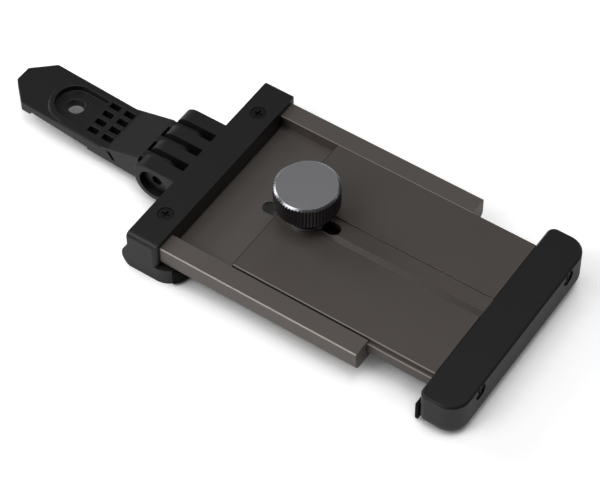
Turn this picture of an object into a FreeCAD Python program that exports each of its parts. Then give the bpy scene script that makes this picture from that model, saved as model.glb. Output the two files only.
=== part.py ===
# Telescopic phone holder: two extruded plates that slide in one another, a plastic jaw
# on each, a clamp knob in the middle and a folding arm on a comb hinge.
# Frame: X = 0 is the fixed jaw's inner face and +X the way the holder opens,
# Y = 0 is the mid-plane, Z = 0 is the table under the two jaws. Lengths are in mm.
import FreeCAD, Part
import Sketcher
import math
import os
import re

Vector = FreeCAD.Vector
Rotation = FreeCAD.Rotation
Placement = FreeCAD.Placement
doc = FreeCAD.newDocument("phone_holder")

# Driving dimensions: each is one cell of the sheet
SIZES = {
    # Fixed plate, an aluminium extrusion with two rails
    "rail_top": 12.6,
    "plate_thickness": 7.1,
    "plate_floor": 2.1,
    "plate_width": 63.5,
    "plate_length": 63.5,
    "rail_width": 5.9,
    "lip_reach": 0.7,
    "lip_thickness": 0.85,
    "plate_foot_round": 2.2,
    "plate_edge_break": 0.3,
    "tongue_length": 8.5,
    "tongue_inset": 5.45,
    "floor_slot_start": 12.0,
    "floor_slot_length": 26.0,
    # Slide plate, the extrusion that runs between the rails
    "slide_start": 19.6,
    "slide_length": 64.2,
    "slide_rise": 0.5,
    "slide_top_gap": 0.35,
    "slide_side_gap": 0.15,
    "slide_lip_gap": 0.1,
    "slide_floor_gap": 0.1,
    "slide_foot_break": 0.4,
    "web_thickness": 2.6,
    "leg_width": 6.9,
    "rib_start": 4.0,
    "rib_width": 3.0,
    "groove_depth": 0.6,
    "groove_near_top": 3.6,
    "groove_near_foot": 1.1,
    "groove_far_foot": 3.7,
    "groove_far_top": 3.9,
    "slide_slot_offset": 3.3,
    "slide_slot_length": 14.4,
    # Fixed jaw, a black moulding with the hinge comb on its back
    "fixed_jaw_depth": 9.9,
    "fixed_jaw_width": 66.9,
    "fixed_jaw_top": 14.2,
    "bead_height": 8.5,
    "bead_bulge": 2.2,
    "bead_gap_room": 0.4,
    "shelf_depth": 5.7,
    "shelf_corner": 6.2,
    "fixed_jaw_end_round": 1.5,
    "fixed_jaw_corner_round": 1.6,
    "seat_gap": 0.05,
    # Rubber pads
    "fixed_pad_thickness": 1.1,
    "fixed_pad_wrap": 47.0,
    "fixed_pad_foot": 0.8,
    "fixed_pad_top_gap": 0.3,
    "slide_pad_thickness": 1.2,
    "slide_pad_inset": 0.5,
    "slide_pad_foot": 1.2,
    "slide_pad_top_gap": 0.2,
    "slide_pad_round": 0.5,
    # Sliding jaw, a black moulding on the slide plate's end
    "slide_jaw_depth": 12.2,
    "slide_jaw_width": 67.0,
    "slide_jaw_top": 13.45,
    "slide_jaw_corner": 5.8,
    "slide_jaw_foot_round": 4.7,
    "slide_jaw_inner_foot_round": 2.2,
    "slide_jaw_rim_bevel": 0.55,
    # Cross-head screws, four alike
    "screw_radius": 1.25,
    "screw_hole_gap": 0.05,
    "screw_head_radius": 2.15,
    "screw_head_height": 1.5,
    "screw_well_gap": 0.15,
    "cross_length": 2.4,
    "cross_width": 0.55,
    "cross_depth": 0.8,
    "fixed_screw_inset": 6.0,
    "fixed_screw_back": 5.0,
    "fixed_screw_length": 9.0,
    "fixed_screw_well": 1.65,
    "slide_screw_inset": 4.1,
    "slide_screw_drop": 2.4,
    "slide_screw_length": 16.0,
    "slide_screw_well": 2.0,
    "screw_end_gap": 0.3,
    # Comb hinge between the fixed jaw and the arm
    "hinge_back_gap": 0.8,
    "hinge_drop": 5.9,
    "comb_shift": 0.75,
    "knuckle_radius": 6.5,
    "knuckle_nose_radius": 4.0,
    "finger_slot": 2.8,
    "inner_knuckle": 3.65,
    "outer_knuckle": 4.75,
    "finger_gap": 0.1,
    "knuckle_bevel": 0.25,
    "hinge_bolt_radius": 2.5,
    "hinge_running_gap": 0.05,
    "hinge_head_radius": 4.4,
    "hinge_head_height": 1.6,
    "hinge_head_gap": 0.3,
    "hinge_head_well": 3.4,
    "hinge_socket_flats": 3.0,
    "hinge_socket_depth": 1.2,
    "hinge_nut_flats": 8.0,
    "hinge_nut_height": 2.7,
    "hinge_nut_gap": 0.1,
    "hinge_nut_well": 3.0,
    # Arm, one black moulding; lengths run out from the hinge axis, levels up from it
    "arm_tilt": 3.56,
    "arm_length": 55.3,
    "arm_width": 17.44,
    "arm_tip_width": 5.14,
    "arm_tip_taper": 6.3,
    "arm_blade_top": -2.06,
    "arm_tip_foot": -5.4,
    "arm_tip_pad": 9.3,
    "arm_tip_ramp": 0.5,
    "arm_relief_front": -4.45,
    "arm_relief_back": -5.5,
    "arm_body_foot": -6.3,
    "arm_body_start": 8.6,
    "arm_body_lead": 2.8,
    "arm_root_drop": 0.6,
    "arm_slope_lead": 9.8,
    "arm_deck_rise": 0.8,
    "arm_deck_width": 16.4,
    "arm_deck_lead": 0.6,
    "arm_hub_radius": 3.9,
    "arm_finger_room": 0.35,
    "arm_hole_from_tip": 19.2,
    "arm_hole_radius": 2.53,
    "arm_boss_radius": 4.6,
    "arm_boss_foot": -6.15,
    "arm_recess_radius": 6.0,
    "arm_recess_length": 7.6,
    "arm_recess_depth": 2.04,
    "arm_cell_length": 3.2,
    "arm_cell_width": 1.9,
    "arm_cell_pitch": 5.0,
    "arm_cell_lead": 7.7,
    "arm_cell_row_pitch": 3.5,
    "arm_cell_floor": -4.3,
    "arm_notch_lead": 11.0,
    "arm_notch_lean": 2.0,
    "arm_notch_width": 1.2,
    "arm_notch_top": -1.8,
    "arm_notch_foot": -4.7,
    "arm_notch_depth": 0.8,
    # Clamp: a plate under the floor, a stud through both slots, a washer and a knob
    "stud_place": 26.7,
    "stud_radius": 2.0,
    "stud_foot_radius": 3.0,
    "stud_foot_height": 0.4,
    "stud_gap": 0.05,
    "stud_slot_gap": 0.1,
    "clamp_length": 18.0,
    "clamp_width": 8.0,
    "clamp_thickness": 1.0,
    "clamp_gap": 0.1,
    "clamp_below": 0.2,
    "clamp_side_gap": 0.3,
    "clamp_end_gap": 0.3,
    "washer_radius": 6.0,
    "washer_thickness": 0.8,
    "washer_hole_gap": 0.15,
    "washer_gap": 0.05,
    "knob_radius": 9.3,
    "knob_face_radius": 8.5,
    "knob_height": 7.2,
    "knob_top_break": 0.6,
    "knob_foot_break": 0.5,
    "knob_neck_radius": 4.75,
    "knob_neck_height": 4.4,
    "knob_bore_room": 0.6,
    "knob_cap": 1.05,
    "knurl_count": 60,
    "knurl_depth": 0.35,
    "knurl_lean": 16.0,
    # How far a cutting or joining shape runs past the face that it starts from
    "margin": 1.0,
}

# Places worked out from the sizes
PLACES = {
    "plate_foot": "rail_top - plate_thickness",
    "floor_top": "plate_foot + plate_floor",
    "plate_side": "plate_width / 2",
    "lip_side": "plate_side - rail_width",
    "channel_side": "lip_side + lip_reach",
    "lip_foot": "rail_top - lip_thickness",
    "slide_top": "rail_top + slide_rise",
    "slide_top_side": "lip_side - slide_top_gap",
    "slide_side": "channel_side - slide_side_gap",
    "slide_step": "lip_foot - slide_lip_gap",
    "slide_foot": "floor_top + slide_floor_gap",
    "slide_end": "slide_start + slide_length",
    "web_foot": "slide_top - web_thickness",
    "slide_slot_start": "slide_start + slide_slot_offset",
    "fixed_jaw_side": "fixed_jaw_width / 2",
    "tongue_side": "fixed_jaw_side - tongue_inset",
    "fixed_pad_height": "plate_foot - fixed_pad_top_gap - fixed_pad_foot",
    "slide_pad_side": "slide_jaw_side - slide_pad_inset",
    "slide_pad_height": "slide_foot - slide_pad_top_gap - slide_pad_foot",
    "screw_hole_radius": "screw_radius + screw_hole_gap",
    "screw_well_radius": "screw_head_radius + screw_well_gap",
    "fixed_screw_side": "tongue_side - fixed_screw_inset",
    "slide_screw_side": "slide_side - slide_screw_inset",
    "slide_screw_level": "slide_top - slide_screw_drop",
    "stud_slot_width": "2 * (stud_radius + stud_slot_gap)",
    "slide_jaw_side": "slide_jaw_width / 2",
    "slide_jaw_face": "slide_end + slide_jaw_depth",
    "fixed_head_seat": "fixed_jaw_top - fixed_screw_well",
    "slide_head_seat": "slide_jaw_face - slide_screw_well",
    "hinge_x": "-(fixed_jaw_depth + knuckle_radius + hinge_back_gap)",
    "hinge_z": "fixed_jaw_top - hinge_drop",
    "inner_knuckle_start": "finger_slot / 2",
    "inner_knuckle_end": "inner_knuckle_start + inner_knuckle",
    "outer_knuckle_start": "inner_knuckle_end + finger_slot",
    "comb_side": "outer_knuckle_start + outer_knuckle",
    "bolt_seat": "comb_side - hinge_head_well",
    "nut_seat": "comb_side - hinge_nut_well",
    "bead_gap_side": "comb_side + bead_gap_room",
    "finger_side": "outer_knuckle_start - finger_gap",
    "arm_side": "arm_width / 2",
    "arm_shoulder": "arm_length - arm_tip_taper",
    "arm_tip_pad_start": "arm_length - arm_tip_pad",
    "arm_hole_place": "arm_length - arm_hole_from_tip",
    "arm_deck_centre": "arm_hole_place - arm_deck_lead",
    "arm_recess_start": "arm_hole_place - arm_recess_length",
    "arm_body_end": "arm_recess_start - arm_body_lead",
    "arm_slope_end": "arm_recess_start - arm_slope_lead",
    "arm_cell_first": "arm_recess_start - arm_cell_lead",
    "arm_notch_start": "arm_recess_start - arm_notch_lead",
    "arm_root_top": "hinge_drop - arm_root_drop",
    "nose_back": "knuckle_radius - knuckle_nose_radius",
    "nose_drop": "hinge_drop - knuckle_nose_radius",
    "arm_finger_root": "sqrt(nose_back^2 + nose_drop^2) + knuckle_nose_radius + arm_finger_room",
    "arm_deck_top": "arm_blade_top + arm_deck_rise",
    "arm_deck_side": "arm_deck_width / 2",
    "recess_side": "clamp_width / 2 + clamp_side_gap",
    "recess_depth": "clamp_gap + clamp_thickness + clamp_below",
    "recess_top": "plate_foot + recess_depth",
    "clamp_top": "recess_top - clamp_gap",
    "clamp_foot": "clamp_top - clamp_thickness",
    "washer_foot": "slide_top + washer_gap",
    "washer_top": "washer_foot + washer_thickness",
    "knob_head_foot": "washer_top + knob_neck_height",
    "knob_top": "knob_head_foot + knob_height",
    "bore_top": "knob_top - knob_cap",
    "stud_length": "bore_top - knob_bore_room - clamp_foot",
}

sheet = doc.addObject("Spreadsheet::Sheet", "sizes")
for row, (name, number) in enumerate(SIZES.items(), start=1):
    sheet.set(f"A{row}", name)
    sheet.set(f"B{row}", str(number))
    sheet.setAlias(f"B{row}", name)
doc.recompute()


def formula(text):
    """The text with each place written out and each size written as its cell."""
    def cell(match):
        word = match[0]
        if word in PLACES:
            return f"({formula(PLACES[word])})"
        return f"sizes.{word}" if word in SIZES else word
    return re.sub(r"[a-z][a-z_]*", cell, text)


def value(text):
    """The number that a formula gives now."""
    return float(sheet.evalExpression(formula(text)))


def bind(thing, **properties):
    """Binds properties to formulas; a double underscore in a name stands for a dot."""
    for name, text in properties.items():
        thing.setExpression(name.replace("__", "."), formula(text))


def make_body(label):
    """An empty body that becomes the sub-part of that name."""
    body = doc.addObject("PartDesign::Body", label)
    body.Label = label
    return body


def fix_point(drawing, geometry, point, x, y):
    """Ties one point of a sketch to two formulas."""
    for kind, text in (("DistanceX", x), ("DistanceY", y)):
        place = drawing.addConstraint(
            Sketcher.Constraint(kind, -1, 1, geometry, point, value(text)))
        drawing.setExpression(f"Constraints[{place}]", formula(text))


def outline(*rows):
    """A closed outline. A row is (x, y), or (x, y, centre_x, centre_y, turn) where an arc
    runs to the next row, counter-clockwise for turn 1 and clockwise for turn -1."""
    def draw(drawing):
        spots = [Vector(value(row[0]), value(row[1]), 0) for row in rows]
        starts = []
        for i, row in enumerate(rows):
            here, there = spots[i], spots[(i + 1) % len(rows)]
            if len(row) == 2:
                number = drawing.addGeometry(Part.LineSegment(here, there), False)
                starts.append((number, 1, 2))
                continue
            centre = Vector(value(row[2]), value(row[3]), 0)
            first, last = (here, there) if row[4] > 0 else (there, here)
            begin = math.atan2(first.y - centre.y, first.x - centre.x)
            end = math.atan2(last.y - centre.y, last.x - centre.x)
            if end <= begin:
                end += 2 * math.pi
            circle = Part.Circle(centre, Vector(0, 0, 1), (here - centre).Length)
            number = drawing.addGeometry(Part.ArcOfCircle(circle, begin, end), False)
            starts.append((number, 1, 2) if row[4] > 0 else (number, 2, 1))
            upright = abs(there.y - here.y) > abs(there.x - here.x)
            kind, text = ("DistanceX", row[2]) if upright else ("DistanceY", row[3])
            place = drawing.addConstraint(
                Sketcher.Constraint(kind, -1, 1, number, 3, value(text)))
            drawing.setExpression(f"Constraints[{place}]", formula(text))
        for i, row in enumerate(rows):
            number, start, _ = starts[i]
            before, _, end = starts[i - 1]
            drawing.addConstraint(Sketcher.Constraint("Coincident", before, end, number, start))
            fix_point(drawing, number, start, row[0], row[1])
    return draw


def circle(x, y, radius):
    """A circle about a point."""
    def draw(drawing):
        round_shape = Part.Circle(Vector(value(x), value(y), 0), Vector(0, 0, 1), value(radius))
        number = drawing.addGeometry(round_shape, False)
        place = drawing.addConstraint(Sketcher.Constraint("Radius", number, value(radius)))
        drawing.setExpression(f"Constraints[{place}]", formula(radius))
        fix_point(drawing, number, 3, x, y)
    return draw


def rectangle(x_low, x_high, y_low, y_high):
    """A rectangle between two levels each way."""
    return outline((x_low, y_low), (x_high, y_low), (x_high, y_high), (x_low, y_high))


def slot(start, length, width):
    """A slot along X on the mid-plane with round ends."""
    half = f"({width}) / 2"
    left = f"{start} + {half}"
    right = f"{start} + {length} - {half}"
    return outline((left, f"-{half}"), (right, f"-{half}", right, "0", 1),
                   (right, half), (left, half, left, "0", 1))


def hexagon(x, y, flats):
    """A hexagon with two flats level, about a point."""
    corner = f"({flats}) / sqrt(3)"
    half = f"({flats}) / 2"
    return outline((f"{x} + {corner}", y), (f"{x} + {corner} / 2", f"{y} + {half}"),
                   (f"{x} - {corner} / 2", f"{y} + {half}"), (f"{x} - {corner}", y),
                   (f"{x} - {corner} / 2", f"{y} - {half}"),
                   (f"{x} + {corner} / 2", f"{y} - {half}"))


def both_sides(*half):
    """Rows of a whole outline from the rows of its right half, foot to top."""
    rows = list(half)
    for i in range(len(half) - 1, -1, -1):
        row = (f"-({half[i][0]})", half[i][1])
        if i > 0 and len(half[i - 1]) > 2:
            row += (f"-({half[i - 1][2]})",) + half[i - 1][3:]
        rows.append(row)
    return rows


def sketch(body, name, plane, level, *loops):
    """A sketch on one of the body's origin planes, moved along that plane's normal."""
    base = next(item for item in body.Origin.OriginFeatures if item.Role == plane)
    drawing = body.newObject("Sketcher::SketchObject", f"{body.Name}_{name}")
    drawing.AttachmentSupport = (base, [""])
    drawing.MapMode = "FlatFace"
    bind(drawing, AttachmentOffset__Base__z=level)
    for loop in loops:
        loop(drawing)
    return drawing


def grow(body, drawing, length, side="One side", back=False):
    """Pads a sketch, to one side or to both sides alike."""
    feature = body.newObject("PartDesign::Pad", f"{drawing.Name}_pad")
    feature.Profile = drawing
    feature.SideType = side
    feature.Reversed = back
    bind(feature, Length=length)
    doc.recompute()
    return feature


def cut(body, drawing, depth, side="One side", back=False):
    """Pockets a sketch and makes sure that material went."""
    before = body.Shape.Volume
    feature = body.newObject("PartDesign::Pocket", f"{drawing.Name}_pocket")
    feature.Profile = drawing
    feature.SideType = side
    feature.Reversed = back
    bind(feature, Length=depth)
    doc.recompute()
    if body.Shape.Volume > before - 1e-3:
        raise RuntimeError(f"{feature.Name} cuts nothing")
    return feature


def dress(body, kind, size, test):
    """Rounds or bevels the edges whose bounding box passes a test."""
    base = body.Tip
    names = [f"Edge{number}" for number, edge in enumerate(base.Shape.Edges, start=1)
             if test(edge.BoundBox)]
    if not names:
        raise RuntimeError(f"{body.Label}: no edge to dress with {size}")
    feature = body.newObject(f"PartDesign::{kind}", f"{body.Name}_{size}")
    feature.Base = (base, names)
    bind(feature, **{"Radius" if kind == "Fillet" else "Size": size})
    doc.recompute()
    return feature


def near(number, text):
    """Whether a number is what a formula gives."""
    return abs(number - value(text)) < 0.01


def flat(low, high):
    """Whether an edge keeps one level."""
    return abs(high - low) < 0.01


def cylinder(name, radius, length, place, turn=Rotation()):
    """A cylinder from a point, along +Z or along what the turn makes of it."""
    shape = doc.addObject("Part::Cylinder", name)
    shape.Placement = Placement(Vector(), turn)
    bind(shape, Radius=radius, Height=length, Placement__Base__x=place[0],
         Placement__Base__y=place[1], Placement__Base__z=place[2])
    return shape


def combine(kind, name, base, tool):
    """A Part boolean of two objects."""
    result = doc.addObject(f"Part::{kind}", name)
    result.Base = base
    result.Tool = tool
    return result


ALONG_X = Rotation(Vector(0, 1, 0), 90)
ALONG_Y = Rotation(Vector(1, 0, 0), -90)


def fixed_plate():
    """The wide extrusion: a floor between two grooved rails, cut to length and slotted."""
    body = make_body("fixed_plate")
    section = both_sides(
        ("plate_side", "plate_foot"), ("plate_side", "rail_top"), ("lip_side", "rail_top"),
        ("lip_side", "lip_foot"), ("channel_side", "lip_foot"), ("channel_side", "floor_top"))
    grow(body, sketch(body, "section", "YZ_Plane", "0", outline(*section)), "plate_length")
    dress(body, "Fillet", "plate_foot_round", lambda box: flat(box.ZMin, box.ZMax)
          and near(box.ZMin, "plate_foot") and near(abs(box.YMin), "plate_side")
          and flat(box.YMin, box.YMax))
    dress(body, "Chamfer", "plate_edge_break", lambda box: flat(box.ZMin, box.ZMax)
          and near(box.ZMin, "rail_top") and near(abs(box.YMin), "plate_side")
          and flat(box.YMin, box.YMax))
    tongue = rectangle("-tongue_length", "0", "-tongue_side", "tongue_side")
    grow(body, sketch(body, "tongue", "XY_Plane", "plate_foot", tongue), "plate_floor")
    cut(body, sketch(body, "slot", "XY_Plane", "floor_top",
                     slot("floor_slot_start", "floor_slot_length", "stud_slot_width")),
        "plate_floor")
    reach = "(clamp_length / 2 + clamp_end_gap)"
    recess = rectangle(
        f"floor_slot_start + stud_slot_width / 2 - {reach}",
        f"floor_slot_start + floor_slot_length - stud_slot_width / 2 + {reach}",
        "-recess_side", "recess_side")
    cut(body, sketch(body, "recess", "XY_Plane", "plate_foot", recess), "recess_depth", back=True)
    holes = [circle("-fixed_screw_back", f"{side}fixed_screw_side", "screw_hole_radius")
             for side in ("", "-")]
    cut(body, sketch(body, "holes", "XY_Plane", "floor_top", *holes), "plate_floor")
    return body


def slide_plate():
    """The narrow extrusion: a grooved web on two legs and two ribs, slotted for the stud."""
    body = make_body("slide_plate")
    section = (
        ("-groove_near_foot", "slide_top - groove_depth"), ("-groove_near_top", "slide_top"),
        ("-slide_top_side", "slide_top"), ("-slide_top_side", "slide_step"),
        ("-slide_side", "slide_step"), ("-slide_side", "slide_foot + slide_foot_break"),
        ("-slide_side + slide_foot_break", "slide_foot"),
        ("-slide_side + leg_width", "slide_foot"), ("-slide_side + leg_width", "web_foot"),
        ("-rib_start - rib_width", "web_foot"), ("-rib_start - rib_width", "slide_foot"),
        ("-rib_start", "slide_foot"), ("-rib_start", "web_foot"),
        ("rib_start", "web_foot"), ("rib_start", "slide_foot"),
        ("rib_start + rib_width", "slide_foot"), ("rib_start + rib_width", "web_foot"),
        ("slide_side - leg_width", "web_foot"), ("slide_side - leg_width", "slide_foot"),
        ("slide_side - slide_foot_break", "slide_foot"),
        ("slide_side", "slide_foot + slide_foot_break"), ("slide_side", "slide_step"),
        ("slide_top_side", "slide_step"), ("slide_top_side", "slide_top"),
        ("groove_far_top", "slide_top"), ("groove_far_foot", "slide_top - groove_depth"))
    grow(body, sketch(body, "section", "YZ_Plane", "slide_start", outline(*section)),
         "slide_length")
    cut(body, sketch(body, "slot", "XY_Plane", "slide_top",
                     slot("slide_slot_start", "slide_slot_length", "stud_slot_width")),
        "slide_top - slide_foot")
    holes = [circle(f"{side}slide_screw_side", "slide_screw_level", "screw_hole_radius")
             for side in ("", "-")]
    cut(body, sketch(body, "holes", "YZ_Plane", "slide_end", *holes),
        "slide_screw_length - slide_jaw_depth + slide_screw_well + screw_end_gap")
    return body


def fixed_jaw():
    """The moulding on the fixed plate's end: a bar with a bead, a shelf and the comb."""
    body = make_body("fixed_jaw")
    bead_radius = "((bead_height / 2)^2 + bead_bulge^2) / (2 * bead_bulge)"
    bead_centre = f"-fixed_jaw_depth - bead_bulge + {bead_radius}"
    bar = outline(
        ("0", "0"), ("0", "fixed_jaw_top"), ("-fixed_jaw_depth", "fixed_jaw_top"),
        ("-fixed_jaw_depth", "bead_height", bead_centre, "bead_height / 2", 1),
        ("-fixed_jaw_depth", "0"))
    grow(body, sketch(body, "bar", "XZ_Plane", "0", bar), "fixed_jaw_width", "Symmetric")
    dress(body, "Fillet", "fixed_jaw_end_round", lambda box: flat(box.ZMin, box.ZMax)
          and near(box.ZMin, "fixed_jaw_top") and flat(box.YMin, box.YMax))
    shelf = outline(
        ("-fixed_jaw_depth / 2", "-fixed_jaw_side"),
        ("shelf_depth - shelf_corner", "-fixed_jaw_side",
         "shelf_depth - shelf_corner", "shelf_corner - fixed_jaw_side", 1),
        ("shelf_depth", "shelf_corner - fixed_jaw_side"),
        ("shelf_depth", "fixed_jaw_side - shelf_corner",
         "shelf_depth - shelf_corner", "fixed_jaw_side - shelf_corner", 1),
        ("shelf_depth - shelf_corner", "fixed_jaw_side"),
        ("-fixed_jaw_depth / 2", "fixed_jaw_side"))
    grow(body, sketch(body, "shelf", "XY_Plane", "0", shelf), "plate_foot - seat_gap")
    corner_y = "(fixed_jaw_side - fixed_jaw_corner_round)"
    corners = [
        outline(("-fixed_jaw_corner_round", f"{way}fixed_jaw_side",
                 "-fixed_jaw_corner_round", f"{way}{corner_y}", turn),
                ("0", f"{way}{corner_y}"), ("margin", f"{way}{corner_y}"),
                ("margin", f"{way}(fixed_jaw_side + margin)"),
                ("-fixed_jaw_corner_round", f"{way}(fixed_jaw_side + margin)"))
        for way, turn in (("", -1), ("-", 1))]
    cut(body, sketch(body, "corners", "XY_Plane", "fixed_jaw_top", *corners),
        "fixed_jaw_top - plate_foot")
    seat = rectangle("-tongue_length - seat_gap", "shelf_depth",
                     "-tongue_side - seat_gap", "tongue_side + seat_gap")
    cut(body, sketch(body, "seat", "XY_Plane", "floor_top + seat_gap", seat),
        "plate_floor + 2 * seat_gap")
    gap = rectangle("-fixed_jaw_depth - bead_bulge - margin", "-fixed_jaw_depth",
                    "comb_shift - bead_gap_side", "comb_shift + bead_gap_side")
    cut(body, sketch(body, "bead_gap", "XY_Plane", "bead_height", gap), "bead_height")
    knuckle = outline(
        ("-fixed_jaw_depth + margin", "fixed_jaw_top"),
        ("hinge_x - nose_back", "fixed_jaw_top", "hinge_x - nose_back", "hinge_z + nose_drop", 1),
        ("hinge_x - knuckle_radius", "hinge_z + nose_drop"),
        ("hinge_x - knuckle_radius", "hinge_z", "hinge_x", "hinge_z", 1),
        ("hinge_x", "hinge_z - knuckle_radius"),
        ("-fixed_jaw_depth + margin", "hinge_z - knuckle_radius"))
    grow(body, sketch(body, "knuckles", "XZ_Plane", "-comb_shift", knuckle), "2 * comb_side",
         "Symmetric")
    dress(body, "Chamfer", "knuckle_bevel", lambda box: flat(box.YMin, box.YMax)
          and abs(abs(box.YMin - value("comb_shift")) - value("comb_side")) < 0.01
          and box.XMin < value("hinge_x + margin"))
    back = "hinge_x - knuckle_radius - margin"
    slots = [
        rectangle(back, "-fixed_jaw_depth", f"comb_shift + {low}", f"comb_shift + {high}")
        for low, high in (("(-inner_knuckle_start)", "inner_knuckle_start"),
                          ("inner_knuckle_end", "outer_knuckle_start"),
                          ("(-outer_knuckle_start)", "(-inner_knuckle_end)"))]
    cut(body, sketch(body, "slots", "XY_Plane", "fixed_jaw_top", *slots), "fixed_jaw_top")
    bore = circle("hinge_x", "hinge_z", "hinge_bolt_radius + hinge_running_gap")
    cut(body, sketch(body, "bore", "XZ_Plane", "-comb_shift", bore), "2 * (comb_side + margin)",
        "Symmetric")
    well = circle("hinge_x", "hinge_z", "hinge_head_radius + hinge_head_gap")
    cut(body, sketch(body, "head_well", "XZ_Plane", "comb_side - comb_shift", well),
        "hinge_head_well")
    nut_well = hexagon("hinge_x", "hinge_z", "hinge_nut_flats + 2 * hinge_nut_gap")
    cut(body, sketch(body, "nut_well", "XZ_Plane", "-comb_side - comb_shift", nut_well),
        "hinge_nut_well", back=True)
    for name, radius, depth in (
            ("wells", "screw_well_radius", "fixed_screw_well"),
            ("holes", "screw_hole_radius",
             "fixed_screw_well + fixed_screw_length + screw_end_gap")):
        loops = [circle("-fixed_screw_back", f"{side}fixed_screw_side", radius)
                 for side in ("", "-")]
        cut(body, sketch(body, name, "XY_Plane", "fixed_jaw_top", *loops), depth)
    return body


def fixed_jaw_pad():
    """A rubber strip along the shelf's front, with its ends round the shelf's corners."""
    body = make_body("fixed_jaw_pad")
    centre_x = "shelf_depth - shelf_corner"
    centre_y = "(fixed_jaw_side - shelf_corner)"
    outer = "(shelf_corner + fixed_pad_thickness)"
    inner_x = f"{centre_x} + shelf_corner * cos(fixed_pad_wrap)"
    outer_x = f"{centre_x} + {outer} * cos(fixed_pad_wrap)"
    inner_y = f"({centre_y} + shelf_corner * sin(fixed_pad_wrap))"
    outer_y = f"({centre_y} + {outer} * sin(fixed_pad_wrap))"
    strip = outline(
        (outer_x, f"-{outer_y}", centre_x, f"-{centre_y}", 1),
        ("shelf_depth + fixed_pad_thickness", f"-{centre_y}"),
        ("shelf_depth + fixed_pad_thickness", centre_y, centre_x, centre_y, 1),
        (outer_x, outer_y),
        (inner_x, inner_y, centre_x, centre_y, -1),
        ("shelf_depth", centre_y),
        ("shelf_depth", f"-{centre_y}", centre_x, f"-{centre_y}", -1),
        (inner_x, f"-{inner_y}"))
    grow(body, sketch(body, "strip", "XY_Plane", "fixed_pad_foot", strip), "fixed_pad_height")
    return body


def slide_jaw():
    """The moulding on the slide plate's end, one section along Y with round corners."""
    body = make_body("slide_jaw")
    corner_x = "slide_jaw_face - slide_jaw_corner"
    corner_y = "(slide_jaw_side - slide_jaw_corner)"
    plan = outline(
        ("slide_end", "-slide_jaw_side"),
        (corner_x, "-slide_jaw_side", corner_x, f"-{corner_y}", 1),
        ("slide_jaw_face", f"-{corner_y}"),
        ("slide_jaw_face", corner_y, corner_x, corner_y, 1),
        (corner_x, "slide_jaw_side"), ("slide_end", "slide_jaw_side"))
    grow(body, sketch(body, "plan", "XY_Plane", "0", plan), "slide_jaw_top")
    dress(body, "Fillet", "slide_jaw_foot_round", lambda box: near(box.ZMax, "0")
          and not near(box.XMax, "slide_end"))
    dress(body, "Fillet", "slide_jaw_inner_foot_round", lambda box: near(box.ZMax, "0")
          and near(box.XMax, "slide_end") and flat(box.XMin, box.XMax))
    dress(body, "Chamfer", "slide_jaw_rim_bevel", lambda box: near(box.ZMin, "slide_jaw_top")
          and not near(box.XMax, "slide_end"))
    for name, radius, depth in (("wells", "screw_well_radius", "slide_screw_well"),
                                ("holes", "screw_hole_radius", "slide_jaw_depth")):
        loops = [circle(f"{side}slide_screw_side", "slide_screw_level", radius)
                 for side in ("", "-")]
        cut(body, sketch(body, name, "YZ_Plane", "slide_jaw_face", *loops), depth)
    return body


def slide_jaw_pad():
    """A rubber strip on the sliding jaw's inner face, below the slide plate."""
    body = make_body("slide_jaw_pad")
    face = rectangle("-slide_pad_side", "slide_pad_side",
                     "slide_pad_foot", "slide_pad_foot + slide_pad_height")
    grow(body, sketch(body, "face", "YZ_Plane", "slide_end", face), "slide_pad_thickness",
         back=True)
    dress(body, "Fillet", "slide_pad_round",
          lambda box: near(box.XMax, "slide_end - slide_pad_thickness"))
    return body


def screw_pair(label, seat, length, turn, side):
    """Two cross-head screws, one each side of the mid-plane; seat is under the head."""
    outward = turn.multVec(Vector(0, 0, 1))
    x_way, z_way = round(outward.x), round(outward.z)
    head = cylinder(f"{label}_head", "screw_head_radius", "screw_head_height",
                    (seat[0], side, seat[1]), turn)
    shank_place = (f"{seat[0]} - ({x_way}) * {length}", side, f"{seat[1]} - ({z_way}) * {length}")
    shank = cylinder(f"{label}_shank", "screw_radius", length, shank_place, turn)
    screw = combine("Fuse", f"{label}_screw", head, shank)
    for number, (wide, deep) in enumerate((("cross_length", "cross_width"),
                                           ("cross_width", "cross_length"))):
        bar = doc.addObject("Part::Box", f"{label}_cross_{number}")
        if z_way:
            sizes = (wide, deep, "cross_depth + margin")
            place = (f"{seat[0]} - ({wide}) / 2", f"{side} - ({deep}) / 2",
                     f"{seat[1]} + screw_head_height - cross_depth")
        else:
            sizes = ("cross_depth + margin", wide, deep)
            place = (f"{seat[0]} + screw_head_height - cross_depth",
                     f"{side} - ({wide}) / 2", f"{seat[1]} - ({deep}) / 2")
        bind(bar, Length=sizes[0], Width=sizes[1], Height=sizes[2], Placement__Base__x=place[0],
             Placement__Base__y=place[1], Placement__Base__z=place[2])
        screw = combine("Cut", f"{label}_cut_{number}", screw, bar)
    mirror = doc.addObject("Part::Mirroring", f"{label}_mirror")
    mirror.Source = screw
    mirror.Normal = Vector(0, 1, 0)
    pair = doc.addObject("Part::Compound", label)
    pair.Links = [screw, mirror]
    pair.Label = label
    return pair


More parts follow.
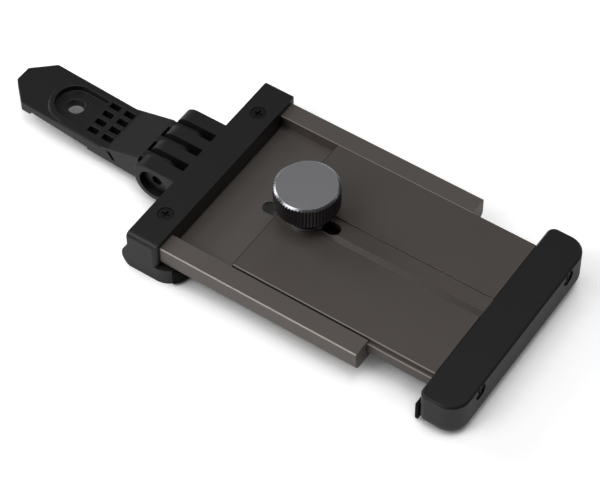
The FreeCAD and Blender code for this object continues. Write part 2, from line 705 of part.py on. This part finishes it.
def hinge_bolt():
    """The hinge's axle: a low-head socket bolt from the near side."""
    near_seat = ("hinge_x", "comb_shift - bolt_seat", "hinge_z")
    head_place = ("hinge_x", "comb_shift - bolt_seat - hinge_head_height", "hinge_z")
    head = cylinder("hinge_head", "hinge_head_radius", "hinge_head_height", head_place, ALONG_Y)
    shank = cylinder("hinge_shank", "hinge_bolt_radius", "bolt_seat + nut_seat + hinge_nut_height",
                     near_seat, ALONG_Y)
    bolt = combine("Fuse", "hinge_bolt_solid", head, shank)
    socket = doc.addObject("Part::Prism", "hinge_socket")
    socket.Polygon = 6
    socket.Placement = Placement(Vector(), ALONG_Y)
    bind(socket, Circumradius="hinge_socket_flats / sqrt(3)",
         Height="hinge_socket_depth + margin",
         Placement__Base__x="hinge_x", Placement__Base__y=f"{head_place[1]} - margin",
         Placement__Base__z="hinge_z")
    result = combine("Cut", "hinge_bolt", bolt, socket)
    result.Label = "hinge_bolt"
    return result


def hinge_nut():
    """The hex nut that is held in the far knuckle's hexagonal well."""
    body = make_body("hinge_nut")
    hexagon_side = hexagon("hinge_x", "hinge_z", "hinge_nut_flats")
    grow(body, sketch(body, "hexagon", "XZ_Plane", "-nut_seat - comb_shift", hexagon_side),
         "hinge_nut_height", back=True)
    bore = circle("hinge_x", "hinge_z", "hinge_bolt_radius + hinge_running_gap")
    cut(body, sketch(body, "bore", "XZ_Plane", "-nut_seat - comb_shift", bore),
        "hinge_nut_height")
    return body


def arm():
    """The folding arm: three hinge fingers, a block with cells and a blade with a hole."""
    body = make_body("arm")
    slope = "((arm_root_top - arm_deck_top) / arm_slope_end)"
    profile = outline(
        ("0", "0"), ("0", "arm_hub_radius"),
        ("-arm_finger_root", f"arm_root_top - {slope} * arm_finger_root"),
        ("-arm_slope_end", "arm_deck_top"),
        (f"-arm_slope_end - arm_deck_rise / {slope}", "arm_blade_top"),
        ("-arm_length", "arm_blade_top"), ("-arm_length", "arm_tip_foot"),
        ("-arm_tip_pad_start", "arm_tip_foot"),
        ("-arm_tip_pad_start + arm_tip_ramp", "arm_relief_front"),
        ("-arm_body_end", "arm_relief_back"), ("-arm_body_end", "arm_body_foot"),
        ("-arm_body_start", "arm_body_foot"), ("-arm_hub_radius / 2", "-arm_hub_radius / 2"))
    grow(body, sketch(body, "profile", "XZ_Plane", "0", profile), "arm_width", "Symmetric")
    hub = circle("0", "0", "arm_hub_radius")
    grow(body, sketch(body, "hub", "XZ_Plane", "-comb_shift", hub), "2 * finger_side", "Symmetric")
    boss = circle("-arm_hole_place", "0", "arm_boss_radius")
    grow(body, sketch(body, "boss", "XY_Plane", "arm_boss_foot", boss),
         "arm_blade_top - arm_boss_foot")
    deck = outline(
        ("-arm_slope_end / 2", "-arm_deck_side"), ("-arm_slope_end / 2", "arm_deck_side"),
        ("-arm_deck_centre", "arm_deck_side", "-arm_deck_centre", "0", 1),
        ("-arm_deck_centre", "-arm_deck_side"))
    grow(body, sketch(body, "deck", "XY_Plane", "arm_blade_top", deck), "arm_deck_rise")
    inner, outer = "inner_knuckle_start - finger_gap", "inner_knuckle_end + finger_gap"
    root, wide = "arm_side + margin", "knuckle_radius + margin"
    gaps = [
        rectangle("-arm_finger_root", wide, f"comb_shift + {low}", f"comb_shift + {high}")
        for low, high in ((inner, outer), (f"(-({outer}))", f"(-({inner}))"),
                          ("finger_side", root), (f"(-({root}))", "(-finger_side)"))]
    cut(body, sketch(body, "gaps", "XY_Plane", "0", *gaps), "4 * knuckle_radius", "Symmetric")
    tips = [
        outline(("-arm_shoulder", f"{way}arm_side"), ("-arm_shoulder", f"{way}({root})"),
                ("-arm_length - margin", f"{way}({root})"),
                ("-arm_length - margin", f"{way}arm_tip_width / 2"),
                ("-arm_length", f"{way}arm_tip_width / 2"))
        for way in ("", "-")]
    cut(body, sketch(body, "tips", "XY_Plane", "0", *tips), "4 * knuckle_radius", "Symmetric")
    recess = outline(
        ("-arm_recess_start", "-arm_recess_radius"), ("-arm_recess_start", "arm_recess_radius"),
        ("-arm_hole_place", "arm_recess_radius", "-arm_hole_place", "0", 1),
        ("-arm_hole_place", "-arm_recess_radius"))
    cut(body, sketch(body, "recess", "XY_Plane", "arm_deck_top", recess), "arm_recess_depth")
    hole = circle("-arm_hole_place", "0", "arm_hole_radius")
    cut(body, sketch(body, "hole", "XY_Plane", "0", hole), "4 * knuckle_radius", "Symmetric")
    cells = []
    for column in range(2):
        for row in (-1.5, -0.5, 0.5, 1.5):
            middle = f"(-arm_cell_first - {column} * arm_cell_pitch)"
            side = f"({row} * arm_cell_row_pitch)"
            cells.append(rectangle(
                f"{middle} - arm_cell_length / 2", f"{middle} + arm_cell_length / 2",
                f"{side} - arm_cell_width / 2", f"{side} + arm_cell_width / 2"))
    cut(body, sketch(body, "cells", "XY_Plane", "arm_cell_floor", *cells),
        "knuckle_radius", back=True)
    for name, level, back in (("near_notch", "arm_side", False), ("far_notch", "-arm_side", True)):
        lean = "-arm_notch_start + arm_notch_lean"
        notch = outline(("-arm_notch_start - arm_notch_width", "arm_notch_top"),
                        ("-arm_notch_start", "arm_notch_top"), (lean, "arm_notch_foot"),
                        (f"{lean} - arm_notch_width", "arm_notch_foot"))
        cut(body, sketch(body, name, "XZ_Plane", level, notch), "arm_notch_depth", back=back)
    bore = circle("0", "0", "hinge_bolt_radius + hinge_running_gap")
    cut(body, sketch(body, "bore", "XZ_Plane", "-comb_shift", bore),
        "2 * (finger_side + margin)", "Symmetric")
    body.Placement = Placement(Vector(), Rotation(Vector(0, 1, 0), 1))
    bind(body, Placement__Base__x="hinge_x", Placement__Base__z="hinge_z",
         Placement__Rotation__Angle="arm_tilt")
    return body


def clamp_plate():
    """The flat bar under the floor that the stud pulls up against it."""
    body = make_body("clamp_plate")
    bar = rectangle("stud_place - clamp_length / 2", "stud_place + clamp_length / 2",
                    "-clamp_width / 2", "clamp_width / 2")
    grow(body, sketch(body, "bar", "XY_Plane", "clamp_foot", bar), "clamp_thickness")
    hole = circle("stud_place", "0", "stud_radius + stud_gap")
    cut(body, sketch(body, "hole", "XY_Plane", "clamp_top", hole), "clamp_thickness")
    foot = circle("stud_place", "0", "stud_foot_radius + stud_gap")
    cut(body, sketch(body, "foot", "XY_Plane", "clamp_foot", foot), "stud_foot_height",
        back=True)
    return body


def clamp_stud():
    """The threaded stud, with its flat foot let into the clamp plate."""
    foot = cylinder("stud_foot", "stud_foot_radius", "stud_foot_height",
                    ("stud_place", "0", "clamp_foot"))
    shank = cylinder("stud_shank", "stud_radius", "stud_length",
                     ("stud_place", "0", "clamp_foot"))
    stud = combine("Fuse", "clamp_stud", foot, shank)
    stud.Label = "clamp_stud"
    return stud


def knob_washer():
    """The flat washer between the knob's neck and the slide plate."""
    place = ("stud_place", "0", "washer_foot")
    disc = cylinder("washer_disc", "washer_radius", "washer_thickness", place)
    hole = cylinder("washer_hole", "stud_radius + washer_hole_gap", "washer_thickness", place)
    washer = combine("Cut", "knob_washer", disc, hole)
    washer.Label = "knob_washer"
    return washer


def knurl_ring(name, level, turn):
    """A wire round the knob's axis with one V tooth for each groove, turned by degrees."""
    tip, root = value("knob_radius"), value("knob_radius - knurl_depth")
    count = int(value("knurl_count"))
    points = []
    for step in range(2 * count):
        reach = root if step % 2 else tip
        angle = math.radians(turn) + math.pi * step / count
        points.append(Vector(value("stud_place") + reach * math.cos(angle),
                             reach * math.sin(angle), value(level)))
    ring = doc.addObject("Part::Feature", name)
    ring.Shape = Part.makePolygon(points + points[:1])
    return ring


def knob():
    """The turned thumb knob: a neck and a head with leaning knurl grooves, bored blind."""
    body = make_body("knob_blank")
    wide = "(knob_radius + margin)"
    slope = "knob_top_break / (knob_radius - knob_face_radius)"
    profile = outline(
        ("stud_radius + stud_gap", "washer_top"), ("knob_neck_radius", "washer_top"),
        ("knob_neck_radius", "knob_head_foot"), ("knob_radius - knob_foot_break", "knob_head_foot"),
        (wide, "knob_head_foot + knob_foot_break + margin"),
        (wide, f"knob_top - {slope} * ({wide} - knob_face_radius)"),
        ("knob_face_radius", "knob_top"), ("0", "knob_top"), ("0", "bore_top"),
        ("stud_radius + stud_gap", "bore_top"))
    turned = body.newObject("PartDesign::Revolution", "knob_turned")
    turned.Profile = sketch(body, "profile", "XZ_Plane", "0", profile)
    axis = next(item for item in body.Origin.OriginFeatures if item.Role == "Z_Axis")
    turned.ReferenceAxis = (axis, [""])
    turned.Angle = 360
    bind(body, Placement__Base__x="stud_place")
    twist = math.degrees(value("knob_height / knob_radius") * math.tan(
        math.radians(value("knurl_lean"))))
    teeth = doc.addObject("Part::Loft", "knurl_teeth")
    teeth.Sections = [knurl_ring("knurl_foot", "knob_head_foot", 0),
                      knurl_ring("knurl_top", "knob_top", twist)]
    teeth.Solid = True
    teeth.Ruled = True
    waste = cylinder("knurl_waste", "knob_radius + 2 * margin", "knob_height",
                     ("stud_place", "0", "knob_head_foot"))
    grooves = combine("Cut", "knurl_grooves", waste, teeth)
    result = combine("Cut", "knob", body, grooves)
    result.Label = "knob"
    return result


parts = [
    fixed_plate(),
    fixed_jaw(),
    fixed_jaw_pad(),
    screw_pair("fixed_jaw_screws", ("-fixed_screw_back", "fixed_head_seat"),
               "fixed_screw_length", Rotation(), "fixed_screw_side"),
    hinge_bolt(),
    hinge_nut(),
    arm(),
    slide_plate(),
    slide_jaw(),
    slide_jaw_pad(),
    screw_pair("slide_jaw_screws", ("slide_head_seat", "slide_screw_level"),
               "slide_screw_length", ALONG_X, "slide_screw_side"),
    clamp_plate(),
    clamp_stud(),
    knob_washer(),
    knob(),
]
doc.recompute()

for item in doc.Objects:
    if {"Invalid", "Error"} & set(item.State):
        raise RuntimeError(f"{item.Name} is {item.State}")
for part in parts:
    if part.Shape.isNull() or not part.Shape.isValid():
        raise RuntimeError(f"{part.Label} has no valid shape")

os.makedirs("parts", exist_ok=True)
for part in parts:
    part.Shape.exportStep(f"parts/{part.Label}.step")
    box = part.Shape.BoundBox
    print(f"{part.Label}: {part.Shape.Volume:.1f} mm3, "
          f"X {box.XMin:.2f}..{box.XMax:.2f}, Y {box.YMin:.2f}..{box.YMax:.2f}, "
          f"Z {box.ZMin:.2f}..{box.ZMax:.2f}")
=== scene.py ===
# Telescopic phone holder: two sliding plates between two black jaws, locked by a thumb knob,
# with a folding arm on a comb hinge. Lengths are in millimetres until they reach Blender.
import math

import bpy
import numpy as np
from mathutils import Matrix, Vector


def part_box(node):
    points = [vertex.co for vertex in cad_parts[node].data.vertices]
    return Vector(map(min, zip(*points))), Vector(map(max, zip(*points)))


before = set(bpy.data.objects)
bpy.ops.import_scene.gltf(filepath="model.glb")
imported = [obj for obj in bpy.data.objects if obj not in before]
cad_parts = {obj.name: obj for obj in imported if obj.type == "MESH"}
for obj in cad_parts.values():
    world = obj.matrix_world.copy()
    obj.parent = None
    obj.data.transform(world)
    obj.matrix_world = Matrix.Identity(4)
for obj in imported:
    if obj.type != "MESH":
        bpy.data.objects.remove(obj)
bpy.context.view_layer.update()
MM = 0.001


# The two plates are aluminium extrusions with a matt, warm grey anodised skin, sawn to length.
# The light lines on the long edges are painted highlights and the cut end's dark line is painted
# shade. A light strip in the groove is drawn as a smoother flank; its cause is a guess. What
# causes either is a guess.
WIDE_PLATE_SKIN = ("#6f6965", "#756f6b")
NARROW_PLATE_SKIN = ("#645e5a", "#69635f")
PAINTED_EDGE_HIGHLIGHT = "#aca49e"
PAINTED_END_SHADE = "#3f3b38"
DIE_LINE_SPACING = 0.35
PAINTED_END_SHADE_WIDTH = 0.22
ETCH_GRAIN = 0.12
CUT_EDGE_BREAK = 0.14
PLATE_ROUGHNESS = 0.5
FLANK_ROUGHNESS = 0.27
LIP_EDGE = (25.8, 26.05)
NEAR_TOP_EDGE = (-25.6, -25.2)
STEP_EDGE_SIDE = 26.15
STEP_EDGE_LEVELS = (11.4, 11.75)
TOP_EDGE_LEVEL = 12.95
GROOVE_SIDES = (-3.6, -1.1)


def linear(colour):
    """The linear RGBA that a shader takes for an sRGB hex colour."""
    channels = [int(colour[i:i + 2], 16) / 255 for i in (1, 3, 5)]
    return [c / 12.92 if c <= 0.04045 else ((c + 0.055) / 1.055) ** 2.4 for c in channels] + [1.0]


def add_node(tree, kind, settings=None, **links):
    """Adds a node, sets its properties and sockets, and links sockets to other nodes' outputs."""
    node = tree.nodes.new(kind)
    for name, value in (settings or {}).items():
        if name in node.inputs:
            node.inputs[name].default_value = value
        else:
            setattr(node, name, value)
    for name, source in links.items():
        tree.links.new(source, node.inputs[name.replace("_", " ")])
    return node


def new_material(name):
    """An empty node material and its tree."""
    material = bpy.data.materials.new(name)
    material.use_nodes = True
    material.node_tree.nodes.clear()
    return material, material.node_tree


def finish_surface(tree, shader):
    """Links a shader to the material's output."""
    add_node(tree, "ShaderNodeOutputMaterial", Surface=shader.outputs[0])


def blend_colours(tree, amount, first, second):
    """A colour that runs from the first to the second; each is a hex colour or an output."""
    mix = add_node(tree, "ShaderNodeMix", {"data_type": "RGBA"})
    tree.links.new(amount, mix.inputs["Factor"])
    sockets = [socket for socket in mix.inputs if socket.type == "RGBA"]
    for socket, colour in zip(sockets, (first, second)):
        if isinstance(colour, str):
            socket.default_value = linear(colour)
        else:
            tree.links.new(colour, socket)
    return [socket for socket in mix.outputs if socket.type == "RGBA"][0]


def above(tree, value, level, soft=0.05 * MM):
    """An amount that is 0 below a level and 1 above it, with a narrow soft step."""
    step = add_node(tree, "ShaderNodeMapRange",
                    {"From Min": level - soft, "From Max": level + soft}, Value=value)
    return step.outputs["Result"]


def below(tree, value, level, soft=0.05 * MM):
    """An amount that is 1 below a level and 0 above it, with a narrow soft step."""
    return above(tree, value, level, -soft)


def all_amounts(tree, *amounts):
    """The product of some amounts."""
    result = amounts[0]
    for amount in amounts[1:]:
        product = add_node(tree, "ShaderNodeMath", {"operation": "MULTIPLY"})
        tree.links.new(result, product.inputs[0])
        tree.links.new(amount, product.inputs[1])
        result = product.outputs[0]
    return result


def between(tree, value, levels):
    """An amount that is 1 between two levels in mm and 0 outside them."""
    return all_amounts(tree, above(tree, value, levels[0] * MM),
                       below(tree, value, levels[1] * MM))


def size_of(tree, value):
    """A number without its sign."""
    plain = add_node(tree, "ShaderNodeMath", {"operation": "ABSOLUTE"})
    tree.links.new(value, plain.inputs[0])
    return plain.outputs[0]


def radius_about(tree, place, centre, spread):
    """The distance from an axis through a centre; spread is 0 along the axis and 1 across it."""
    moved = add_node(tree, "ShaderNodeMapping",
                     {"Location": [-c * s for c, s in zip(centre, spread)], "Scale": spread},
                     Vector=place)
    length = add_node(tree, "ShaderNodeVectorMath", {"operation": "LENGTH"})
    tree.links.new(moved.outputs[0], length.inputs[0])
    return length.outputs["Value"]


def wide_plate_details(tree, axes, _facing, colour):
    """A painted highlight along the far rail's inner top edge."""
    rail_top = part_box("fixed_plate")[1][2]
    lip_edge = all_amounts(tree, between(tree, axes["Y"], LIP_EDGE),
                           above(tree, axes["Z"], rail_top - 0.2 * MM))
    return blend_colours(tree, lip_edge, colour, PAINTED_EDGE_HIGHLIGHT), None


def narrow_plate_details(tree, axes, facing, colour):
    """Painted highlights on the near top edge and the step, a painted shade line along the cut
    end, and a smoother flank.
    """
    # Painted highlights on the near top edge and on the step's edge.
    top_edge = all_amounts(tree, between(tree, axes["Y"], NEAR_TOP_EDGE),
                           above(tree, axes["Z"], TOP_EDGE_LEVEL * MM))
    step_edge = all_amounts(tree, above(tree, size_of(tree, axes["Y"]), STEP_EDGE_SIDE * MM),
                            between(tree, axes["Z"], STEP_EDGE_LEVELS))
    for edge in (top_edge, step_edge):
        colour = blend_colours(tree, edge, colour, PAINTED_EDGE_HIGHLIGHT)
    # A painted shade line along the narrow plate's cut end.
    rim = below(tree, axes["X"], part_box("slide_plate")[0][0] + PAINTED_END_SHADE_WIDTH * MM)
    colour = blend_colours(tree, rim, colour, PAINTED_END_SHADE)
    flank = all_amounts(tree, between(tree, axes["Y"], GROOVE_SIDES),
                        above(tree, facing["Y"], 0.15, 0.03))
    finish = add_node(tree, "ShaderNodeMapRange",
                      {"To Min": PLATE_ROUGHNESS, "To Max": FLANK_ROUGHNESS}, Value=flank)
    return colour, finish.outputs["Result"]


def anodised_aluminium(name, skin, details):
    """Matt anodised extrusion: die lines along X, an etched grain and painted highlights on the
    long edges.
    """
    material, tree = new_material(name)
    coordinates = add_node(tree, "ShaderNodeTexCoord")
    place = coordinates.outputs["Object"]
    stretch = add_node(tree, "ShaderNodeMapping", {"Scale": (0.02, 1.0, 1.0)}, Vector=place)
    lines = add_node(tree, "ShaderNodeTexNoise",
                     {"Scale": 1 / (DIE_LINE_SPACING * MM), "Detail": 2.0, "Roughness": 0.6},
                     Vector=stretch.outputs[0])
    grain = add_node(tree, "ShaderNodeTexNoise",
                     {"Scale": 1 / (ETCH_GRAIN * MM), "Detail": 1.0}, Vector=place)
    clouds = add_node(tree, "ShaderNodeTexNoise", {"Scale": 1 / (14 * MM), "Detail": 2.0},
                      Vector=place)
    facing = add_node(tree, "ShaderNodeSeparateXYZ", Vector=coordinates.outputs["Normal"]).outputs
    axes = add_node(tree, "ShaderNodeSeparateXYZ", Vector=place).outputs
    colour = blend_colours(tree, clouds.outputs["Fac"], *skin)
    colour, finish = details(tree, axes, facing, colour)
    # Painted highlight on the bevels of the long edges.
    edge = all_amounts(tree, above(tree, size_of(tree, facing["Y"]), 0.4, 0.1),
                       above(tree, facing["Z"], 0.4, 0.1))
    colour = blend_colours(tree, edge, colour, PAINTED_EDGE_HIGHLIGHT)
    relief = add_node(tree, "ShaderNodeBump", {"Strength": 0.10, "Distance": 0.01 * MM},
                      Height=lines.outputs["Fac"])
    relief = add_node(tree, "ShaderNodeBump", {"Strength": 0.18, "Distance": 0.01 * MM},
                      Height=grain.outputs["Fac"], Normal=relief.outputs[0])
    shader = add_node(tree, "ShaderNodeBsdfPrincipled",
                      {"Metallic": 0.75, "Roughness": PLATE_ROUGHNESS},
                      Base_Color=colour, Normal=relief.outputs[0])
    if finish is not None:
        tree.links.new(finish, shader.inputs["Roughness"])
    finish_surface(tree, shader)
    return material


def wear(node, material):
    """Gives a CAD node its material."""
    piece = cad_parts[node]
    piece.data.materials.clear()
    piece.data.materials.append(material)
    return piece


def soften_edges(piece, width):
    """Breaks a CAD node's sharp edges by a narrow round, after its loose triangles are joined."""
    weld = piece.modifiers.new("join", "WELD")
    weld.merge_threshold = 0.002 * MM
    bevel = piece.modifiers.new("edge_break", "BEVEL")
    bevel.width = width * MM
    bevel.segments = 2
    bevel.limit_method = "ANGLE"
    bevel.angle_limit = math.radians(40)
    flat_shade = piece.modifiers.new("flat_faces", "WEIGHTED_NORMAL")
    flat_shade.keep_sharp = True
    return piece


wide_skin = anodised_aluminium("anodised_wide_plate", WIDE_PLATE_SKIN, wide_plate_details)
soften_edges(wear("fixed_plate", wide_skin), CUT_EDGE_BREAK)
narrow_skin = anodised_aluminium("anodised_narrow_plate", NARROW_PLATE_SKIN,
                                 narrow_plate_details)
soften_edges(wear("slide_plate", narrow_skin), CUT_EDGE_BREAK)


# The jaws and the arm are injection mouldings in black plastic, taken as ABS. The jaws have a
# fine matt texture and the arm is a little smoother. Each is one material all over.
JAW_BLACK = "#101010"
ARM_BLACK = "#131315"
SPARK_GRAIN = 0.18
MOULD_EDGE_ROUND = 0.25
PLASTIC_SHEEN = 0.42


def moulded_plastic(name, colour, roughness, depth, sheen=PLASTIC_SHEEN):
    """Black moulding with the fine grain of its mould as relief."""
    material, tree = new_material(name)
    place = add_node(tree, "ShaderNodeTexCoord").outputs["Object"]
    grain = add_node(tree, "ShaderNodeTexNoise",
                     {"Scale": 1 / (SPARK_GRAIN * MM), "Detail": 3.0}, Vector=place)
    relief = add_node(tree, "ShaderNodeBump", {"Strength": depth, "Distance": 0.02 * MM},
                      Height=grain.outputs["Fac"])
    shader = add_node(tree, "ShaderNodeBsdfPrincipled",
                      {"Base Color": linear(colour), "Roughness": roughness, "IOR": 1.53,
                       "Specular IOR Level": sheen}, Normal=relief.outputs[0])
    finish_surface(tree, shader)
    return material


jaw_plastic = moulded_plastic("spark_textured_abs", JAW_BLACK, 0.48, 0.3)
for name in ("fixed_jaw", "slide_jaw"):
    soften_edges(wear(name, jaw_plastic), MOULD_EDGE_ROUND)
arm_plastic = moulded_plastic("smooth_moulded_abs", ARM_BLACK, 0.45, 0.15)
soften_edges(wear("arm", arm_plastic), MOULD_EDGE_ROUND)


# The pads are strips of black rubber glued to the jaws, duller than the mouldings.
RUBBER_BLACK = "#0c0c0b"
RUBBER_SHEEN = 0.2
pad_rubber = moulded_plastic("moulded_rubber", RUBBER_BLACK, 0.9, 0.4, sheen=RUBBER_SHEEN)
for name in ("fixed_jaw_pad", "slide_jaw_pad"):
    soften_edges(wear(name, pad_rubber), MOULD_EDGE_ROUND)


# The jaws' screws and the hinge's bolt and nut are steel with a black oxide finish, dark with a
# satin gleam. Their threads are left plain.
OXIDE_BLACK = "#3a3a3c"
METAL_EDGE_BREAK = 0.06


def plain_metal(name, colour, roughness):
    """A metal with an even finish."""
    material, tree = new_material(name)
    shader = add_node(tree, "ShaderNodeBsdfPrincipled",
                      {"Base Color": linear(colour), "Metallic": 1.0, "Roughness": roughness})
    finish_surface(tree, shader)
    return material


oxide_steel = plain_metal("black_oxide_steel", OXIDE_BLACK, 0.42)
for name in ("fixed_jaw_screws", "slide_jaw_screws", "hinge_bolt", "hinge_nut"):
    soften_edges(wear(name, oxide_steel), METAL_EDGE_BREAK)


# The clamp plate under the floor, the stud in the slots and the washer under the knob are
# zinc-plated steel. The photograph hides all but a bright spot of them.
ZINC = "#b4b7bb"
zinc_steel = plain_metal("zinc_plated_steel", ZINC, 0.28)
for name in ("clamp_plate", "clamp_stud", "knob_washer"):
    soften_edges(wear(name, zinc_steel), METAL_EDGE_BREAK)


# The knob is a turned, knurled metal knob, taken as aluminium. Its side keeps the dark skin; the
# top is painted lighter as painted light, and the bevel between them carries a painted highlight.
KNOB_SKIN = "#555458"
PAINTED_BEVEL_HIGHLIGHT = "#8f8f93"
PAINTED_LIT_TOP = "#c3c3c7"
BEVEL_HEIGHT = 0.6
BEVEL_ROUGHNESS = 0.24
TOP_ROUGHNESS = 0.4
RING_SPACING = 0.45
KNURL_EDGE_BREAK = 0.05


def knob_metal():
    """A dark knurl, a painted highlight on the bevel and painted light on the top, whose rings
    are a wave along the radius.
    """
    material, tree = new_material("turned_aluminium")
    place = add_node(tree, "ShaderNodeTexCoord").outputs["Object"]
    low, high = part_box("knob")
    centre = ((low[0] + high[0]) / 2, (low[1] + high[1]) / 2, 0.0)
    axes = add_node(tree, "ShaderNodeSeparateXYZ", Vector=place)
    rings = add_node(tree, "ShaderNodeTexNoise",
                     {"noise_dimensions": "1D", "Scale": 1 / (RING_SPACING * MM), "Detail": 2.0},
                     W=radius_about(tree, place, centre, (1.0, 1.0, 0.0)))
    relief = add_node(tree, "ShaderNodeBump", {"Strength": 0.08, "Distance": 0.02 * MM},
                      Height=rings.outputs["Fac"])
    # The bevel's painted highlight and the top's painted light are split off by height.
    bevel = above(tree, axes.outputs["Z"], high[2] - (BEVEL_HEIGHT + 0.03) * MM, 0.02 * MM)
    face = above(tree, axes.outputs["Z"], high[2] - 0.03 * MM, 0.02 * MM)
    colour = blend_colours(tree, bevel, KNOB_SKIN, PAINTED_BEVEL_HIGHLIGHT)
    colour = blend_colours(tree, face, colour, PAINTED_LIT_TOP)
    finish = add_node(tree, "ShaderNodeMapRange",
                      {"To Min": BEVEL_ROUGHNESS, "To Max": TOP_ROUGHNESS}, Value=face)
    shader = add_node(tree, "ShaderNodeBsdfPrincipled", {"Metallic": 1.0}, Base_Color=colour,
                      Roughness=finish.outputs["Result"], Normal=relief.outputs[0])
    finish_surface(tree, shader)
    return material


soften_edges(wear("knob", knob_metal()), KNURL_EDGE_BREAK)


# The holder lies on a white studio floor, whose lift to white fades close under the holder as
# painted shade.
# Soft lights stand overhead, low on the left, high at the front left and behind on the right,
# with two small ones that mostly draw the edges.
FLOOR_SIZE = 4000
FLOOR_WHITE = "#ececec"
CAMERA_LIFT = 0.46
MIRROR_LIFT = 0.12
SHADED_LIFT = 0.04
SHADE_REACH = 16
SHADE_RANGE = (0.38, 0.6)


def studio_floor():
    """A white floor that camera and mirror rays see brighter, less so close under the holder as
    painted shade.
    """
    material, tree = new_material("studio_floor_white")
    rays = add_node(tree, "ShaderNodeLightPath")
    paint = add_node(tree, "ShaderNodeBsdfDiffuse", {"Color": linear(FLOOR_WHITE)})
    lift = None
    for ray, strength in (("Is Camera Ray", CAMERA_LIFT), ("Is Glossy Ray", MIRROR_LIFT),
                          ("Is Transmission Ray", MIRROR_LIFT)):
        part = add_node(tree, "ShaderNodeMath", {"operation": "MULTIPLY_ADD"})
        tree.links.new(rays.outputs[ray], part.inputs[0])
        part.inputs[1].default_value = strength
        part.inputs[2].default_value = 0.0
        if lift is not None:
            tree.links.new(lift, part.inputs[2])
        lift = part.outputs[0]
    open_floor = add_node(tree, "ShaderNodeAmbientOcclusion",
                          {"Distance": SHADE_REACH * MM, "samples": 8})
    share = add_node(tree, "ShaderNodeMapRange",
                     {"From Min": SHADE_RANGE[0], "From Max": SHADE_RANGE[1],
                      "To Min": SHADED_LIFT},
                     Value=open_floor.outputs["AO"])
    glow = add_node(tree, "ShaderNodeEmission",
                    Strength=all_amounts(tree, lift, share.outputs["Result"]))
    both = add_node(tree, "ShaderNodeAddShader")
    tree.links.new(paint.outputs[0], both.inputs[0])
    tree.links.new(glow.outputs[0], both.inputs[1])
    finish_surface(tree, both)
    mesh = bpy.data.meshes.new("floor")
    half = FLOOR_SIZE / 2 * MM
    mesh.from_pydata([(-half, -half, 0), (half, -half, 0), (half, half, 0), (-half, half, 0)],
                     [], [(0, 1, 2, 3)])
    mesh.materials.append(material)
    floor = bpy.data.objects.new("floor", mesh)
    bpy.context.scene.collection.objects.link(floor)


LIGHT_AIM = np.array((25.0, 0.0, 0.0))
LIGHT_DISTANCE = 1150


def soft_light(name, azimuth, elevation, size, watts):
    """A square area light round the object: azimuth 0 is +X and 90 is +Y, both in degrees."""
    data = bpy.data.lights.new(name, "AREA")
    data.size = size * MM
    data.energy = watts
    lamp = bpy.data.objects.new(name, data)
    turn, rise = math.radians(azimuth), math.radians(elevation)
    out = np.array([math.cos(rise) * math.cos(turn), math.cos(rise) * math.sin(turn),
                    math.sin(rise)])
    side = np.array([-math.sin(turn), math.cos(turn), 0.0])
    columns = np.column_stack((side, np.cross(out, side), out))
    matrix = Matrix([list(row) for row in columns]).to_4x4()
    matrix.translation = (LIGHT_AIM + out * LIGHT_DISTANCE) * MM
    lamp.matrix_world = matrix
    bpy.context.scene.collection.objects.link(lamp)


def studio_room(strength):
    """An even, dim white room."""
    world = bpy.data.worlds.new("studio")
    bpy.context.scene.world = world
    world.use_nodes = True
    world.node_tree.nodes.clear()
    room = add_node(world.node_tree, "ShaderNodeBackground",
                    {"Color": (1, 1, 1, 1), "Strength": strength})
    add_node(world.node_tree, "ShaderNodeOutputWorld", Surface=room.outputs[0])


studio_floor()
soft_light("overhead", 0, 85, 600, 3.2)
soft_light("left", 180, 28, 600, 4.9)
soft_light("front_left", 240, 52, 600, 4.9)
soft_light("back_right", 60, 40, 600, 0.7)
soft_light("edge_line_front", 244, 29, 250, 0.5)
soft_light("edge_line_back", 114, 28, 250, 0.17)
studio_room(0.08)


# The camera stands at the photograph's angle: turned to the right, high, with a long lens.
VIEW_AZIMUTH = 35.096
VIEW_ELEVATION = 51.462
VIEW_ROLL = 0.972
VIEW_AIM = (24.48, -0.574, 1.015)
VIEW_DISTANCE = 663.35
LENS = 144.0


def aim_camera():
    """The camera looks at a point from an azimuth (0 looks along +Y), an elevation and a roll."""
    azimuth, elevation, roll = map(math.radians, (VIEW_AZIMUTH, VIEW_ELEVATION, VIEW_ROLL))
    right = np.array([math.cos(azimuth), math.sin(azimuth), 0.0])
    level = np.array([-math.sin(azimuth), math.cos(azimuth), 0.0])
    ahead = level * math.cos(elevation) - np.array([0.0, 0.0, math.sin(elevation)])
    up = np.cross(right, ahead)
    turned_right = right * math.cos(roll) - up * math.sin(roll)
    turned_up = right * math.sin(roll) + up * math.cos(roll)
    place = np.array(VIEW_AIM) - ahead * VIEW_DISTANCE
    data = bpy.data.cameras.new("camera")
    data.lens = LENS
    data.sensor_width = 36.0
    data.clip_start = 0.01
    camera = bpy.data.objects.new("camera", data)
    columns = np.column_stack((turned_right, turned_up, -ahead))
    matrix = Matrix([list(row) for row in columns]).to_4x4()
    matrix.translation = place * MM
    camera.matrix_world = matrix
    bpy.context.scene.collection.objects.link(camera)
    bpy.context.scene.camera = camera


aim_camera()
bpy.context.scene.view_settings.view_transform = "Standard"
